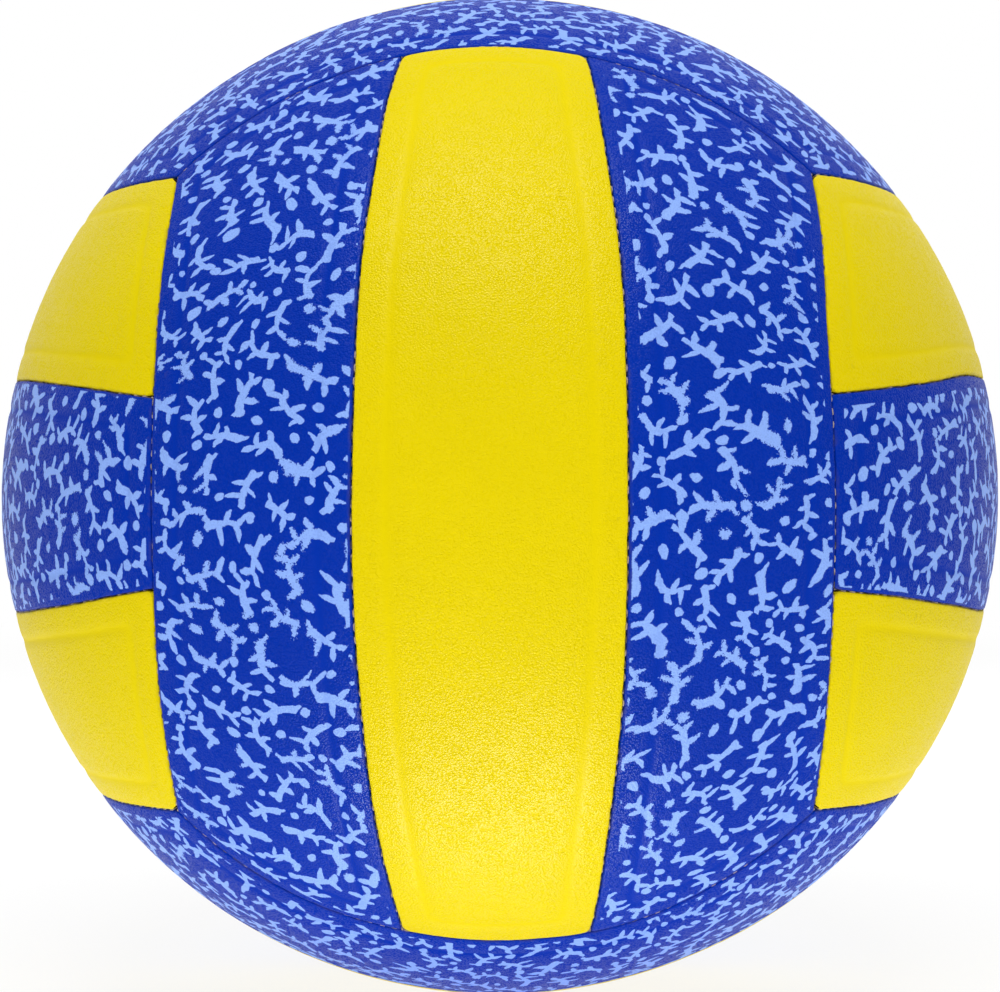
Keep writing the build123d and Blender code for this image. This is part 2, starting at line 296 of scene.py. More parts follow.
class BallColours(bpy.types.PropertyGroup):
    """Colours of the dressed ball."""

    yellow: colour("Yellow cover", "Yellow leather", (232, 210, 0))
    blue: colour("Blue cover", "Ground of the blue leather", (0, 48, 168))
    print: colour("Print", "Pale print on the blue leather", (145, 181, 254))
    grime: colour("Grime", "Dust in the seams and small scuffs", (96, 82, 52))
    thread: colour("Thread", "Sewing thread", (176, 160, 150))
    foam: colour("Foam", "Foam behind the covers", (236, 231, 214))
    lining: colour("Lining", "Cloth under the foam", (214, 212, 205))
    rubber: colour("Rubber", "Bladder and valve", (30, 30, 32))


class StageSettings(bpy.types.PropertyGroup):
    """Camera and light of the studio."""

    distance: length("Camera distance", "Camera to the centre of the ball", 0.5177)
    lens: FloatProperty(name="Lens", description="Focal length", default=86.6, min=1, unit="CAMERA")
    turn: FloatVectorProperty(
        name="Turn",
        description="Camera's turn round the ball, as a rotation vector",
        default=[math.radians(a) for a in (0.51, 0.165, 0.967)],
        subtype="EULER",
        unit="ROTATION",
    )
    ambient: share("Ambient", "Strength of the light from all round", 0.46)
    key: power("Upper light", "Power of the upper soft box", 8.3)
    fill: power("Lower light", "Power of the lower soft box", 7.1)
    upper_shine: power("Upper shine", "Power of the upper light that only gloss shows", 16.0)
    lower_shine: power("Lower shine", "Power of the lower light that only gloss shows", 37.0)
    rear: power("Rear light", "Power of the rear soft box", 7.0)
    floor: share("Floor white", "How much of the floor's shading the camera's white hides", 0.86)
    seed: IntProperty(name="Seed", description="Seed of everything made by hand", default=7, min=0)


class Wire:
    """An output socket of a material, open to sums in Python."""

    def __init__(self, paint, socket):
        self.paint = paint
        self.socket = socket

    def math(self, operation, *values):
        """A Math node on these values."""
        return self.paint.node("ShaderNodeMath", {"operation": operation}, dict(enumerate(values)))["Value"]

    def __add__(self, other):
        return self.math("ADD", self, other)

    def __radd__(self, other):
        return self.math("ADD", other, self)

    def __sub__(self, other):
        return self.math("SUBTRACT", self, other)

    def __rsub__(self, other):
        return self.math("SUBTRACT", other, self)

    def __mul__(self, other):
        return self.math("MULTIPLY", self, other)

    def __rmul__(self, other):
        return self.math("MULTIPLY", other, self)

    def __gt__(self, other):
        return self.math("GREATER_THAN", self, other)

    def sine(self):
        """Sine of an angle."""
        return self.math("SINE", self)

    def cosine(self):
        """Cosine of an angle."""
        return self.math("COSINE", self)

    def root(self):
        """Square root."""
        return self.math("SQRT", self)

    def lower(self, other):
        """The lower of two values."""
        return self.math("MINIMUM", self, other)

    def higher(self, other):
        """The higher of two values."""
        return self.math("MAXIMUM", self, other)

    def between(self, low, high):
        """This value, held between two limits."""
        return self.higher(low).lower(high)

    def step(self, low, high):
        """A soft step from 0 at low to 1 at high; low may be the larger."""
        node = self.paint.node(
            "ShaderNodeMapRange",
            {"interpolation_type": "SMOOTHSTEP", "clamp": True},
            {"Value": self, "From Min": low, "From Max": high, "To Min": 0.0, "To Max": 1.0},
        )
        return node["Result"]


class Paint:
    """A procedural material, or a world, in the making."""

    def __init__(self, owner):
        owner.use_nodes = True
        owner.node_tree.nodes.clear()
        self.owner = owner
        self.tree = owner.node_tree

    @classmethod
    def material(cls, name):
        """A new material."""
        return cls(bpy.data.materials.new(name))

    def node(self, kind, settings, sockets):
        """Adds a node: its settings first, then the values or links of its sockets. Returns its outputs."""
        node = self.tree.nodes.new(kind)
        for key, value in settings.items():
            setattr(node, key, value)
        live = [socket for socket in node.inputs if socket.enabled]
        for key, value in sockets.items():
            socket = live[key] if isinstance(key, int) else next(s for s in live if s.name == key)
            if isinstance(value, Wire):
                self.tree.links.new(value.socket, socket)
            else:
                socket.default_value = value
        return {socket.name: Wire(self, socket) for socket in node.outputs if socket.enabled}

    def mix(self, factor, first, second):
        """Two colours mixed."""
        settings = {"data_type": "RGBA", "blend_type": "MIX", "clamp_factor": True}
        return self.node("ShaderNodeMix", settings, {"Factor": factor, "A": first, "B": second})["Result"]

    def vector(self, operation, *values):
        """A Vector Math node on these vectors."""
        return self.node("ShaderNodeVectorMath", {"operation": operation}, dict(enumerate(values)))["Vector"]

    def turned(self, vector, angle):
        """A vector turned about Z."""
        sockets = {"Vector": vector, "Angle": angle}
        return self.node("ShaderNodeVectorRotate", {"rotation_type": "Z_AXIS"}, sockets)["Vector"]

    def parts(self, vector):
        """The three numbers of a vector or colour."""
        split = self.node("ShaderNodeSeparateXYZ", {}, {"Vector": vector})
        return split["X"], split["Y"], split["Z"]

    def place(self):
        """The point on the object, in metres."""
        return self.node("ShaderNodeTexCoord", {}, {})["Object"]

    def mark(self, name):
        """A value that the mesh holds for each of its points."""
        return self.node("ShaderNodeAttribute", {"attribute_name": name}, {})["Fac"]

    def noise(self, place, scale, detail=2.0, roughness=0.5):
        """Soft noise from 0 to 1 at a point."""
        sockets = {"Vector": place, "Scale": scale, "Detail": detail, "Roughness": roughness}
        return self.node("ShaderNodeTexNoise", {}, sockets)

    def cells(self, place, scale):
        """Distance from the middle of the nearest of many cells."""
        sockets = {"Vector": place, "Scale": scale}
        return self.node("ShaderNodeTexVoronoi", {"feature": "F1"}, sockets)["Distance"]

    def bump(self, height, depth):
        """A bump of this depth in metres, from a height of 0 to 1."""
        sockets = {"Height": height, "Distance": depth, "Strength": 1.0}
        return self.node("ShaderNodeBump", {}, sockets)["Normal"]

    def seen(self):
        """1 for the camera, mirrors and glass, and 0 for the light that falls on things."""
        path = self.node("ShaderNodeLightPath", {}, {})
        return path["Is Camera Ray"].higher(path["Is Glossy Ray"]).higher(path["Is Transmission Ray"])

    def shader(self, **sockets):
        """A shader that takes these sockets."""
        values = {key.replace("_", " ").title().replace("Ior", "IOR"): v for key, v in sockets.items()}
        return self.node("ShaderNodeBsdfPrincipled", {}, values)["BSDF"]

    def blend(self, factor, first, second):
        """Two shaders mixed."""
        return self.node("ShaderNodeMixShader", {}, {0: factor, 1: first, 2: second})["Shader"]

    def close(self, shader):
        """Closes the material with this shader."""
        self.node("ShaderNodeOutputMaterial", {}, {"Surface": shader})
        return self.owner

    def finish(self, **sockets):
        """Closes the material with one shader that takes these sockets."""
        return self.close(self.shader(**sockets))


def solid(shade, tone=1.0):
    """A colour property with its alpha, made darker or lighter by a tone."""
    return (*[min(1.0, value * tone) for value in shade], 1.0)


def leather_grain(paint, place, pressed):
    """Height of a fine pebble grain with small pores, from 0 to 1, flatter where the leather is pressed."""
    drift = paint.noise(place, DRIFT_SCALE)["Color"]
    warped = paint.vector("ADD", place, paint.vector("MULTIPLY", drift, (DRIFT,) * 3))
    pebble = paint.cells(warped, PEBBLE_SCALE)
    pores = paint.noise(place, PORE_SCALE, roughness=0.6)["Fac"]
    broad = paint.noise(place, BROAD_SCALE, detail=3.0)["Fac"]
    hollow = pebble * pebble * PEBBLE_WEIGHT + pores * PORE_WEIGHT
    return 1 - hollow * (BROAD_LEAST + broad * BROAD_SPREAD) * (1 - pressed * PRESSED_FLAT)


def print_cells(paint, spot, offset, draw):
    """The place inside a cell of the print's grid, in millimetres, and two sets of chances for that cell."""
    grid = paint.vector("ADD", paint.vector("DIVIDE", spot, (PRINT_CELL,) * 3), (offset, offset, 0.0))
    corner = paint.vector("ADD", paint.vector("FLOOR", grid), (0.0, 0.0, draw))
    inside = paint.vector("SUBTRACT", paint.vector("FRACTION", grid), (0.5, 0.5, 0.0))
    local = paint.vector("MULTIPLY", inside, (PRINT_CELL, PRINT_CELL, 0.0))
    again = paint.vector("ADD", corner, (0.0, 0.0, SECOND_DRAW))
    chances = [
        paint.node("ShaderNodeTexWhiteNoise", {"noise_dimensions": "3D"}, {"Vector": place})
        for place in (corner, again)
    ]
    return local, chances


def leaf(x, y, foot, foot_height, heading, reach, bow, bulge):
    """Distance to a bowed leaf that leaves a stem at its foot."""
    away, up = x - foot, y - foot_height
    sine, cosine = heading.sine(), heading.cosine()
    along = away * cosine + up * sine
    held = along.between(0.0, reach)
    off = up * cosine - away * sine - held * held * bow
    past = along - held
    return (past * past + off * off).root() - (LEAF_RADIUS + held * (reach - held) * bulge)


def sprig_print(paint, spot):
    """Distance in millimetres to bent sprigs, a stem with leaves on both sides, one in each cell."""
    local, (first, second) = print_cells(paint, spot, 0.0, SPRIG_DRAW)
    x, y, _ = paint.parts(paint.turned(local, first["Value"] * (2 * math.pi)))
    chance = dict(zip(("bend", "fork", "lean"), paint.parts(first["Color"])))
    chance.update(zip(("reach", "weight", "side"), paint.parts(second["Color"])))
    bow = (chance["bend"] - 0.5) * STEM_BOW
    half = STEM_HALF + chance["reach"] * STEM_HALF_SPREAD
    held = x.between(half * -1, half)
    off = y - bow * held * held
    past = x - held
    radius = STEM_RADIUS + chance["weight"] * STEM_RADIUS_SPREAD - held * STEM_TAPER
    sprig = (off * off + past * past).root() - radius
    for station, heading, swinger, swing, reach, stretcher, stretch, bulge in LEAVES:
        foot = half * station
        turned = chance[swinger] * swing + heading
        long = reach + chance[stretcher] * stretch
        sprig = sprig.lower(leaf(x, y, foot, bow * foot * foot, turned, long, bow * -station, bulge))
    return sprig


def dot_print(paint, spot):
    """Distance in millimetres to round dots between the sprigs."""
    local, (chance, _) = print_cells(paint, spot, 0.5, DOT_DRAW)
    centred = paint.vector("SUBTRACT", chance["Color"], (0.5,) * 3)
    slack = paint.vector("MULTIPLY", centred, (DOT_SLACK, DOT_SLACK, 0.0))
    x, y, _ = paint.parts(paint.vector("SUBTRACT", local, slack))
    size = DOT_RADIUS + chance["Value"] * DOT_RADIUS_SPREAD
    missing = (chance["Value"] > DOT_CHANCE) * OUT_OF_SIGHT
    return (x * x + y * y).root() - size + missing


def print_spot(paint):
    """The place on the print in millimetres: it wanders over the panel and is turned against it."""
    flat = paint.node("ShaderNodeUVMap", {"uv_map": "print"}, {})["UV"]
    spot = paint.vector("MULTIPLY", flat, (1 / MM,) * 3)
    for scale, amount in PRINT_WANDERS:
        centred = paint.vector("SUBTRACT", paint.noise(spot, scale, detail=1.0)["Color"], (0.5,) * 3)
        spot = paint.vector("ADD", spot, paint.vector("MULTIPLY", centred, (amount, amount, 0.0)))
    return paint.turned(spot, PRINT_TURN)


def pale_print(paint, place, seam_distance):
    """Where the pale print lies, from 0 to 1: ragged sprigs and dots, off the seams by a margin."""
    spot = print_spot(paint)
    motifs = sprig_print(paint, spot).lower(dot_print(paint, spot))
    patchy = paint.noise(place, PATCH_SCALE, detail=1.0)["Fac"].step(PATCH_FROM, PATCH_FULL)
    near_seam = seam_distance.step(SEAM_FAR, SEAM_NEAR) * SEAM_RAGGED
    fray = paint.noise(place, RAGGED_SCALE, roughness=0.7)["Fac"] - 0.5
    ragged = fray * (RAGGED_LEAST + patchy * PATCH_RAGGED + near_seam)
    uneven = paint.noise(place, MARGIN_SCALE, detail=1.0)["Fac"].step(MARGIN_FROM, MARGIN_FULL)
    margin = MARGIN_LEAST + uneven * MARGIN_SPREAD
    inside = (seam_distance - margin + ragged * MARGIN_RAGGED).step(-PRINT_BLUR, PRINT_BLUR)
    return (motifs + ragged).step(PRINT_BLUR, -PRINT_BLUR) * inside


def seam_dirt(paint, place, seam_distance):
    """Dust that gathers in the seams and sparse small scuffs near them, from 0 to 1."""
    patchy = paint.noise(place, DUST_SCALE, detail=4.0, roughness=0.6)["Fac"].step(DUST_FROM, DUST_FULL)
    dust = seam_distance.step(DUST_FAR, DUST_NEAR) * patchy
    area = paint.noise(place, SCUFF_AREA_SCALE)["Fac"].step(SCUFF_AREA_FROM, SCUFF_AREA_FULL)
    speck = paint.noise(place, SCUFF_SCALE, detail=3.0, roughness=0.65)["Fac"].step(SCUFF_FROM, SCUFF_FULL)
    scuffs = area * seam_distance.step(SCUFF_FAR, SCUFF_NEAR) * speck
    return (dust + scuffs * SCUFF_WEIGHT).lower(1.0)


def cover_paint(name, colours, printed):
    """Grained leather: plain yellow, or blue with a pale print of sprigs and dots."""
    paint = Paint.material(name)
    place = paint.place()
    seam_distance = paint.mark("seam_distance") * (1 / MM)
    pressed = paint.mark("crease")
    grain = leather_grain(paint, place, pressed)
    cloudy = paint.noise(place, CLOUD_SCALE, detail=3.0)["Fac"]
    if printed:
        ground = paint.mix(cloudy, *[solid(colours.blue, tone) for tone in BLUE_TONES])
        rubbed = 1 - grain.step(RUBBED_FROM, RUBBED_FULL) * RUBBED
        shade = paint.mix(pale_print(paint, place, seam_distance) * rubbed, ground, solid(colours.print))
    else:
        shade = paint.mix(cloudy, *[solid(colours.yellow, tone) for tone in YELLOW_TONES])
    dirt = seam_dirt(paint, place, seam_distance) * SOIL
    shade = paint.mix(dirt, shade, solid(colours.grime))
    roughness = TOP_ROUGHNESS + cloudy * CLOUDY_ROUGHNESS + dirt * DIRTY_ROUGHNESS
    normal = paint.bump(grain, GRAIN_DEPTH)
    hollows = paint.shader(
        base_color=shade, roughness=HOLLOW_ROUGHNESS, specular_ior_level=HOLLOW_GLOSS, normal=normal
    )
    tops = paint.shader(base_color=shade, roughness=roughness, specular_ior_level=TOP_GLOSS, normal=normal)
    glossy = grain.step(TOPS_FROM, TOPS_FULL) * (1 - pressed * PRESSED_DULL)
    return paint.close(paint.blend(glossy, hollows, tops))


def thread_paint(colours):
    """Two-ply thread, soiled in places."""
    paint = Paint.material("sewing_thread")
    place = paint.place()
    fibre = paint.noise(place, FIBRE_SCALE, detail=3.0, roughness=0.7)["Fac"]
    soiled = paint.noise(place, SOILED_SCALE)["Fac"].step(SOILED_FROM, SOILED_FULL)
    soil = soiled * SOILED_WEIGHT + fibre.step(FIBRE_FROM, FIBRE_FULL) * FIBRE_WEIGHT
    shade = paint.mix(soil, solid(colours.thread), solid(paint_chip(*SOILED_CHIP)))
    roughness = THREAD_ROUGHNESS + fibre * FIBRE_ROUGHNESS
    return paint.finish(base_color=shade, roughness=roughness, normal=paint.bump(fibre, FIBRE_DEPTH))


def foam_paint(colours):
    """Open-cell foam, with painted shade darkening the hollows of its pores."""
    paint = Paint.material("cover_foam")
    place = paint.place()
    pores = paint.cells(place, FOAM_SCALE)
    tone = paint.noise(place, FOAM_TONE_SCALE, detail=3.0)["Fac"]
    # Painted shade: the hollows of the pores, low in the bump, are mixed towards a darker foam, with a random
    # tone added
    pore_shade_and_tone = pores.step(PORE_SHADE_FROM, PORE_SHADE_FULL) * PORE_SHADE_WEIGHT + tone * FOAM_TONE_WEIGHT
    shade = paint.mix(pore_shade_and_tone, solid(colours.foam), solid(colours.foam, FOAM_SHADE))
    roughness = FOAM_ROUGHNESS + tone * FOAM_ROUGHNESS_SPREAD
    return paint.finish(base_color=shade, roughness=roughness, normal=paint.bump(pores, FOAM_DEPTH))


def lining_paint(colours):
    """Plain-woven cloth, its threads running round the ball, with painted shade in the hollows between them.
    """
    paint = Paint.material("lining_cloth")
    place = paint.place()
    x, y, z = paint.parts(place)
    pick = (x * WARP[0] + y * WARP[1]).sine() * (z * WEFT[0] + y * WEFT[1]).sine()
    height = pick * 0.5 + 0.5
    tone = paint.noise(place, CLOTH_TONE_SCALE, detail=4.0)["Fac"]
    # Painted shade: the raised threads are mixed towards the lighter cloth and the hollows of the weave
    # towards a darker one, with a random tone added
    light = height * WEAVE_SHADE_WEIGHT + tone * CLOTH_TONE_WEIGHT
    shade = paint.mix(light, solid(colours.lining, CLOTH_SHADE), solid(colours.lining))
    roughness = CLOTH_ROUGHNESS + tone * CLOTH_ROUGHNESS_SPREAD
    return paint.finish(base_color=shade, roughness=roughness, normal=paint.bump(height, WEAVE_DEPTH))


def rubber_paint(name, shade, roughness, grain_scale):
    """Moulded rubber with a faint bloom."""
    paint = Paint.material(name)
    place = paint.place()
    bloom = paint.noise(place, BLOOM_SCALE, detail=4.0, roughness=0.6)["Fac"]
    grain = paint.noise(place, grain_scale, detail=3.0)["Fac"]
    pale = [value * BLOOM_TONE + BLOOM_LIFT for value in shade]
    return paint.finish(
        base_color=paint.mix(bloom.step(BLOOM_FROM, BLOOM_FULL) * BLOOM_WEIGHT, solid(shade), solid(pale)),
        roughness=roughness + bloom * BLOOM_ROUGHNESS,
        specular_ior_level=RUBBER_GLOSS,
        normal=paint.bump(grain, RUBBER_DEPTH),
    )


def floor_paint(white):
    """Pale floor that the camera and mirrors see nearly white, with the ball's shadow left in it."""
    paint = Paint.material("studio_floor")
    place = paint.place()
    tone = paint.noise(place, FLOOR_TONE_SCALE)["Fac"]
    x, y, _ = paint.parts(place)
    far = (x * x + y * y).root().step(FLOOR_SHADOW, FLOOR_WHITE)
    shade = paint.mix(tone, *[solid((level,) * 3) for level in FLOOR_TONES])
    matt = paint.node("ShaderNodeBsdfDiffuse", {}, {"Color": shade})["BSDF"]
    glow = paint.node("ShaderNodeEmission", {}, {"Color": WHITE, "Strength": 1.0})["Emission"]
    return paint.close(paint.blend(paint.seen() * (far * (1 - white) + white), matt, glow))


class Waves:
    """Unevenness of handwork: a sum of plain waves in seeded directions."""

    def __init__(self, seed, count, shortest, longest, amount):
        draw = np.random.default_rng(seed)
        heading = draw.normal(size=(count, 3))
        heading /= np.linalg.norm(heading, axis=1, keepdims=True)
        self.numbers = heading * (2 * np.pi / draw.uniform(shortest, longest, size=(count, 1)))
        self.phases = draw.uniform(0, 2 * np.pi, size=count)
        self.sways = draw.normal(size=(count, 3)) * amount / math.sqrt(count)

    def at(self, points):
        """The shift of each point."""
        return np.sin(points @ self.numbers.T + self.phases) @ self.sways


class Handwork:
    """The unevenness that panels and thread share, so that they stay together."""

    def __init__(self, seed, radius):
        self.fine = Waves(seed, *FINE_WAVES)
        self.broad = Waves(seed + BROAD_SEED, *BROAD_WAVES)
        self.radius = radius

    def moved(self, directions, radii, lift):
        """Points of the ball in these directions and at these radii, moved sideways and by a share out."""
        surface = directions * self.radius
        shift = self.fine.at(surface) + self.broad.at(surface)
        outward = np.sum(shift * directions, axis=-1, keepdims=True)
        sideways = shift - outward * directions
        return directions * (radii[..., None] + outward * lift) + sideways


def line_through(start, end):
    """Unit normal and offset of the straight line through two points of a plane."""
    run = end - start
    normal = np.stack([-run[..., 1], run[..., 0]], axis=-1)
    normal = normal / np.linalg.norm(normal, axis=-1, keepdims=True)
    return normal, np.sum(normal * start, axis=-1)


def arc_point(angle, reach=1.0):
    """A point of a circle, at an angle from the second axis."""
    return np.stack([np.sin(angle) * reach, np.cos(angle) * reach], axis=-1)


class Layout:
    """The seams of one face on a ball of radius one: X across its strips, Y along them, Z out of the ball."""

    def __init__(self, sizes):
        self.radius = sizes.diameter / 2
        self.face_angle = sizes.face_waist
        self.middle_angle = sizes.middle_waist
        self.middle_end = sizes.middle_end
        self.corner = 1 / math.sqrt(3)
        self.end_angle = math.pi / 2 - self.face_angle
        self.end_normal, self.end_offset = self.lines_across(self.end_angle, math.pi / 4)
        self.inner_normal, self.inner_offset = self.lines_along(self.middle_angle, self.middle_end)
        self.outer_normal, self.outer_offset = self.lines_along(self.face_angle, self.corner)

    def spans(self, kind):
        """Width and length of a panel along the surface, at its waist."""
        if kind == "middle":
            width = 2 * self.radius * self.middle_angle
        else:
            width = self.radius * (self.face_angle - self.middle_angle)
        return width, 2 * self.radius * self.end_angle

    def lines_across(self, waist_angle, edge_angle):
        """Planes across the strips through points of the waist and the outer seam, as lines in Y and Z."""
        return line_through(arc_point(waist_angle), arc_point(edge_angle, self.corner * math.sqrt(2)))

    def lines_along(self, waist_angle, end_width):
        """Planes along the strips through points of the waist and the end seam, as lines in X and Z."""
        end = np.stack([end_width, self.end_height(end_width)], axis=-1)
        return line_through(arc_point(waist_angle), end)

    def end_height(self, end_width):
        """Height of the end seam at a distance from its middle."""
        chord = np.sqrt(1 - end_width**2 - self.end_offset**2)
        return self.end_normal[1] * self.end_offset + abs(self.end_normal[0]) * chord

    def moved_along(self, normal, waist_angle, turn):
        """Waist angle and end width of a seam along the strips, moved over the surface by an angle."""
        moved = waist_angle + turn
        offset = math.cos(moved - math.atan2(normal[0], normal[1]))
        width = self.middle_end
        for _ in range(SETTLING_ROUNDS):
            width = (offset - normal[1] * self.end_height(width)) / normal[0]
        return moved, width

    def moved_across(self, turn):
        """Waist angle and edge angle of the end seam, moved over the surface by an angle."""
        moved = self.end_angle + turn
        axis = math.atan2(*self.end_normal)
        reach = self.corner * math.sqrt(2)
        swing = math.acos(math.cos(moved - axis) / reach)
        return moved, axis + math.copysign(swing, math.pi / 4 - axis)

    def crossing(self, kind, shares_across, shares_along, inset):
        """Directions of the points where planes along the strip meet planes across it, inside an inset."""
        turn = inset / self.radius
        if kind == "middle":
            last = self.moved_along(self.inner_normal, self.middle_angle, -turn)
            first = [-value for value in last]
        else:
            first = self.moved_along(self.inner_normal, self.middle_angle, turn)
            last = self.moved_along(self.outer_normal, self.face_angle, -turn)
        waist, end = [low + shares_across * (high - low) for low, high in zip(first, last)]
        waist_along, edge_along = [limit * (2 * shares_along - 1) for limit in self.moved_across(-turn)]
        normal_u, offset_u = self.lines_along(waist, end)
        normal_v, offset_v = self.lines_across(waist_along, edge_along)
        x_start, x_slope = offset_u / normal_u[:, 0], normal_u[:, 1] / normal_u[:, 0]
        y_start, y_slope = offset_v / normal_v[:, 0], normal_v[:, 1] / normal_v[:, 0]
        x_start, y_start = x_start[None, :], y_start[:, None]
        x_slope, y_slope = x_slope[None, :], y_slope[:, None]
        square = x_slope**2 + y_slope**2 + 1
        half = x_start * x_slope + y_start * y_slope
        rest = x_start**2 + y_start**2 - 1
        z = (half + np.sqrt(half**2 - square * rest)) / square
        return np.stack([x_start - x_slope * z, y_start - y_slope * z, z], axis=-1)

    def flat_places(self, directions):
        """Places on a flat map of the panel, in metres."""
        across = self.radius * np.arcsin(directions[..., 0])
        along = self.radius * np.arctan2(directions[..., 1], directions[..., 2])
        return np.stack([across, along], axis=-1)

    def edges(self, kind):
        """Axis and offset of the circles that a panel's four seams follow: two ends, then two sides."""
        inner = np.array([self.inner_normal[0], 0, self.inner_normal[1]])
        outer = np.array([self.outer_normal[0], 0, self.outer_normal[1]])
        end = np.array([0, self.end_normal[0], self.end_normal[1]])
        mirror_x, mirror_y = np.array([-1, 1, 1]), np.array([1, -1, 1])
        edges = [(end, self.end_offset), (end * mirror_y, self.end_offset), (inner, self.inner_offset)]
        if kind == "middle":
            edges.append((inner * mirror_x, self.inner_offset))
        else:
            edges.append((outer, self.outer_offset))
        return edges

    def past_edges(self, kind, directions):
        """Distances of points from the panel's four seams, along the surface, with a sign for the side."""
        return [
            self.radius * (np.arccos(directions @ axis) - math.acos(offset))
            for axis, offset in self.edges(kind)
        ]

    def seam_distances(self, kind, directions):
        """Distances of points from the panel's four seams, along the surface."""
        return [np.abs(past) for past in self.past_edges(kind, directions)]

    def drawn_in(self, kind, directions, inset, radius):
        """Directions of a panel's points, drawn in near its corners so that each corner becomes a round."""
        moved = directions.copy()
        sides = [
            (axis, np.sign(past), np.maximum(radius + inset - np.abs(past), 0))
            for (axis, _), past in zip(self.edges(kind), self.past_edges(kind, directions))
        ]
        for end, side in itertools.product(sides[:2], sides[2:]):
            square = np.maximum(end[2], side[2])
            pull = 1 - square / np.maximum(np.hypot(end[2], side[2]), HARDLY_ANY)
            for axis, sign, short in (end, side):
                inward = (directions @ axis)[..., None] * directions - axis
                inward *= sign[..., None] / np.linalg.norm(inward, axis=-1, keepdims=True)
                moved += inward * (short * pull / self.radius)[..., None]
        return moved / np.linalg.norm(moved, axis=-1, keepdims=True)

    def seam_line(self, kind, step):
        """Directions along a seam between the strips or between the faces, and the distance along it."""
        normal, offset, waist_angle, end_width = {
            "strip": (self.inner_normal, self.inner_offset, self.middle_angle, self.middle_end),
            "face": (self.outer_normal, self.outer_offset, self.face_angle, self.corner),
        }[kind]
        axis = np.array([normal[0], 0, normal[1]])
        middle = np.array([math.sin(waist_angle), 0, math.cos(waist_angle)]) - axis * offset
        reach = np.linalg.norm(middle)
        middle /= reach
        chord = math.sqrt(1 - end_width**2 - float(self.end_offset) ** 2)
        end_y = float(self.end_normal[0]) * float(self.end_offset) + abs(float(self.end_normal[1])) * chord
        half_turn = math.asin(min(1.0, end_y / reach))
        count = int(2 * half_turn * reach * self.radius / step)
        turn = np.linspace(-half_turn, half_turn, count)[:, None]
        aside = np.array([0.0, 1.0, 0.0])
        points = axis * offset + reach * (middle * np.cos(turn) + aside * np.sin(turn))
        return points, turn[:, 0] * reach * self.radius


def strip_axes(across, out, turn):
    """Axes across a face's strips, along them and out of the ball; a turn of -1 reverses the first two."""
    across, out = np.array(across, float) * turn, np.array(out, float)
    return np.stack([across, np.cross(out, across), out])


def panel_places():
    """Each panel's face, name, kind, and its axes across, along and out of the ball."""
    for face, (across, out, (first, last)) in FACES.items():
        for name, kind, turn in ((first, "side", -1), ("middle", "middle", 1), (last, "side", 1)):
            yield face, name, kind, strip_axes(across, out, turn)


def is_yellow(face, name):
    """True if the panel is yellow: the middle strip of four faces, and the side strips of the other two."""
    return (face in YELLOW_MIDDLES) == (name == "middle")


def edge_stations(width, edge, step):
    """Shares from 0 to 1 across a width, at given distances from both edges and evenly between."""
    edge = np.array(edge)
    inner_width = width - 2 * edge[-1]
    count = max(2, int(round(inner_width / step)))
    inner = edge[-1] + inner_width * np.arange(1, count) / count
    return np.concatenate([edge, inner, width - edge[::-1]]) / width


def rounded_distance(distances, radius):
    """Distance from the edge of a panel with rounded corners."""
    inside = [np.maximum(radius - d, 0) for d in distances]
    outside = np.maximum(np.minimum.reduce(distances), radius) - np.sqrt(sum(d**2 for d in inside))
    return np.maximum(outside, 0)


def soft_minimum(distances, softness):
    """The least of several distances, rounded off where two are alike."""
    return -softness * np.log(sum(np.exp(-d / softness) for d in distances))


def shell_faces(rows, columns, rows_kept, columns_kept):
    """Faces of a closed shell: a fine outer grid, a coarse inner grid on some of its lines, and the edge."""
    index = np.arange(rows * columns).reshape(rows, columns)
    front = np.stack([index[:-1, :-1], index[:-1, 1:], index[1:, 1:], index[1:, :-1]], axis=-1)
    shape = len(rows_kept), len(columns_kept)
    inner = rows * columns + np.arange(math.prod(shape)).reshape(shape)
    back = np.stack([inner[:-1, :-1], inner[1:, :-1], inner[1:, 1:], inner[:-1, 1:]], axis=-1)
    faces = [*front.reshape(-1, 4).tolist(), *back.reshape(-1, 4).tolist()]
    for outer_line, inner_line, kept, turned in (
        (index[0], inner[0], columns_kept, False),
        (index[-1], inner[-1], columns_kept, True),
        (index[:, 0], inner[:, 0], rows_kept, True),
        (index[:, -1], inner[:, -1], rows_kept, False),
    ):
        for place, (first, last) in enumerate(zip(kept[:-1], kept[1:])):
            outside = outer_line[first : last + 1][::-1].tolist()
            strip = outside + inner_line[place : place + 2].tolist()
            faces.append(strip[::-1] if turned else strip)
    return faces


def kept_lines(stations, width, edge, spacing):
    """Indices of the lines that the inner grid keeps: at distances from both edges, and spaced between."""
    count = int((width - 2 * edge[-1]) / spacing)
    between = np.linspace(edge[-1], width - edge[-1], count + 1)[1:-1]
    places = np.concatenate([edge, between, width - np.array(edge)])
    return sorted({int(np.argmin(np.abs(stations * width - place))) for place in places})


def make_object(name, points, faces, material, smooth=True):
    """A mesh object at the origin, in the frame of the ball."""
    mesh = bpy.data.meshes.new(name)
    mesh.from_pydata(points.tolist(), [], faces)
    mesh.polygons.foreach_set("use_smooth", [smooth] * len(mesh.polygons))
    mesh.validate()
    mesh.update()
    made = bpy.data.objects.new(name, mesh)
    bpy.context.scene.collection.objects.link(made)
    made.data.materials.append(material)
    return made


def paint_node(name, material):
    """Gives a carried-over piece its material."""
    materials = frame["nodes"][name].data.materials
    materials.clear()
    materials.append(material)


def add_map(mesh, name, flat):
    """A UV map from one flat position per point."""
    layer = mesh.uv_layers.new(name=name)
    corners = np.zeros(len(mesh.loops), dtype=np.int32)
    mesh.loops.foreach_get("vertex_index", corners)
    layer.data.foreach_set("uv", flat[corners].astype(np.float32).ravel())


def add_values(mesh, name, values):
    """A value per point for the material."""
    layer = mesh.attributes.new(name, "FLOAT", "POINT")
    layer.data.foreach_set("value", values.astype(np.float32))


